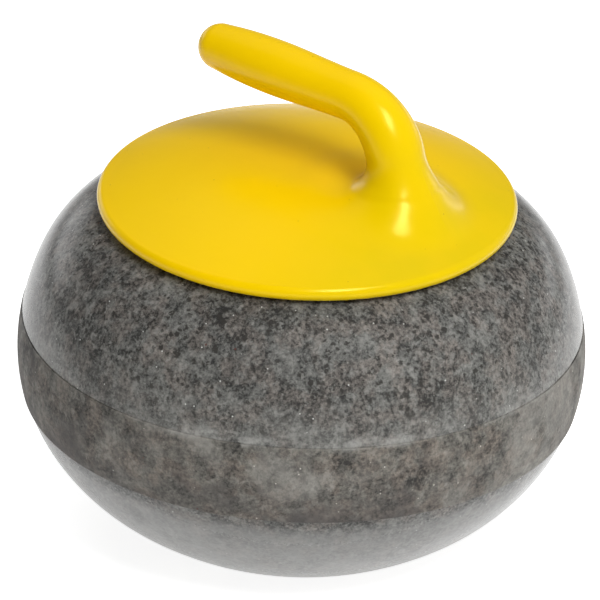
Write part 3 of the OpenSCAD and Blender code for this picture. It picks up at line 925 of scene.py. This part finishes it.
def make_camera():
    back = towards(CAMERA_AZIMUTH, CAMERA_ELEVATION)
    data = bpy.data.cameras.new("camera")
    data.sensor_width, data.lens = CAMERA_SENSOR, CAMERA_LENS
    data.clip_start, data.clip_end = 0.05, 60.0
    camera = bpy.data.objects.new("camera", data)
    bpy.context.scene.collection.objects.link(camera)
    turn = (-back).to_track_quat("-Z", "Y").to_matrix()
    for angle, axis in ((CAMERA_ROLL, "Z"), (AIM_LOW, "X"), (AIM_LEFT, "Y")):
        turn = turn @ Matrix.Rotation(angle, 3, axis)
    target = Vector((0, 0, WIDEST_Z * MM))
    camera.matrix_world = Matrix.Translation(target + back * CAMERA_DISTANCE) @ turn.to_4x4()
    bpy.context.scene.camera = camera


def make_floor():
    """White paper that glows around the stone, as if lit from below, and fades further out."""
    n = Nodes("floor_paper")
    at, place = n.object_place()
    paper = n.ramp(n.noise(at, 60, 3, 0.5), 0.3, 0.7)
    colour = n.blend(paper, rgb(0.86, 0.86, 0.86), rgb(0.88, 0.88, 0.88))
    reach = n.math("SQRT", n.sum(n.times(place["X"], place["X"]), n.times(place["Y"], place["Y"])))
    glow = n.times(n.ramp(reach, GLOW_FROM, GLOW_TO, 1.0, 0.0), GLOW)
    seen = n.add("ShaderNodeLightPath").outputs["Is Camera Ray"]
    strength = n.math("MAXIMUM", glow, n.times(seen, FLOOR_SEEN))
    material = n.surface(Base_Color=colour, Roughness=0.8, Emission_Color=rgb(1, 1, 1),
                         Emission_Strength=strength)
    half = FLOOR_HALF
    corners = [(-half, -half, 0), (half, -half, 0), (half, half, 0), (-half, half, 0)]
    mesh = bpy.data.meshes.new("floor")
    mesh.from_pydata(corners, [], [(0, 1, 2, 3)])
    mesh.materials.append(material)
    floor = bpy.data.objects.new("floor", mesh)
    bpy.context.scene.collection.objects.link(floor)


def make_world():
    """Soft studio surroundings: two bright panels low behind the stone, and a lit room to the right.

    Over them is a dim ceiling. The camera sees plain white.
    """
    n = Nodes("studio", world=True)
    direction = n.add("ShaderNodeTexCoord").outputs["Generated"]
    parts = n.add("ShaderNodeSeparateXYZ", {0: direction}).outputs
    up = parts["Z"]
    level = n.math("SQRT", n.sum(n.times(parts["X"], parts["X"]), n.times(parts["Y"], parts["Y"])))

    def facing(azimuth):
        """Cosine of the level angle between a direction and an azimuth in degrees."""
        return n.math("DIVIDE", n.towards(direction, azimuth), level)

    def panel(azimuth, half_width, top, strength):
        """A soft-edged bright panel that stands on the horizon."""
        outer, inner = math.radians(half_width + PANEL_BLUR), math.radians(half_width - PANEL_BLUR)
        low, high = math.radians(top - PANEL_TOP_BLUR), math.radians(top + PANEL_TOP_BLUR)
        across = n.ramp(facing(azimuth), math.cos(outer), math.cos(inner))
        upright = n.ramp(up, math.sin(low), math.sin(high), 1.0, 0.0)
        return n.times(across, upright, strength)

    camera_side = math.degrees(CAMERA_AZIMUTH)
    haze = n.ramp(up, -0.05, 0.12, HORIZON_HAZE, 0.0)
    room = n.times(n.ramp(facing(camera_side + 65), -0.2, 0.7), ROOM)
    behind = n.times(n.ramp(facing(camera_side + 180), -0.2, 0.6), BEHIND)
    ceiling = n.times(n.ramp(up, 0.45, 0.95), CEILING)
    panels = [panel(*sizes) for sizes in PANELS]
    light = n.sum(*panels, haze, room, behind, ceiling, EVERYWHERE)
    lit = n.add("ShaderNodeBackground", {"Color": n.grey(light), "Strength": 1.0})
    seen = n.add("ShaderNodeBackground", {"Color": rgb(1, 1, 1), "Strength": 1.0})
    which = n.add("ShaderNodeLightPath").outputs["Is Camera Ray"]
    both = n.add("ShaderNodeMixShader", {0: which, 1: lit.outputs[0], 2: seen.outputs[0]})
    n.add("ShaderNodeOutputWorld", {"Surface": both.outputs[0]})
    bpy.context.scene.world = n.owner


def make_softbox(name, azimuth, elevation, distance, size, power, in_gloss=True):
    """A round soft lamp that faces the stone, angles in degrees. Out of gloss, it isn't reflected."""
    data = bpy.data.lights.new(name, "AREA")
    data.shape = "DISK"
    data.size, data.energy = size, power
    light = bpy.data.objects.new(name, data)
    bpy.context.scene.collection.objects.link(light)
    out = towards(math.radians(azimuth), math.radians(elevation))
    light.location = Vector((0, 0, 0.15)) + out * distance
    light.rotation_mode = "QUATERNION"
    light.rotation_quaternion = out.to_track_quat("Z", "Y")
    light.visible_camera = False
    light.visible_glossy = in_gloss


def make_lights():
    make_softbox("key", azimuth=57, elevation=45, distance=1.7, size=0.50, power=11.2)
    make_softbox("second", azimuth=68, elevation=57, distance=1.7, size=0.56, power=11.2)
    make_softbox("overhead", azimuth=235, elevation=62, distance=2.0, size=2.4, power=17.0, in_gloss=False)


make_camera()
make_floor()
make_lights()
make_world()
bpy.context.scene.view_settings.view_transform = "Standard"
make_granite()
make_handle()
make_fittings()
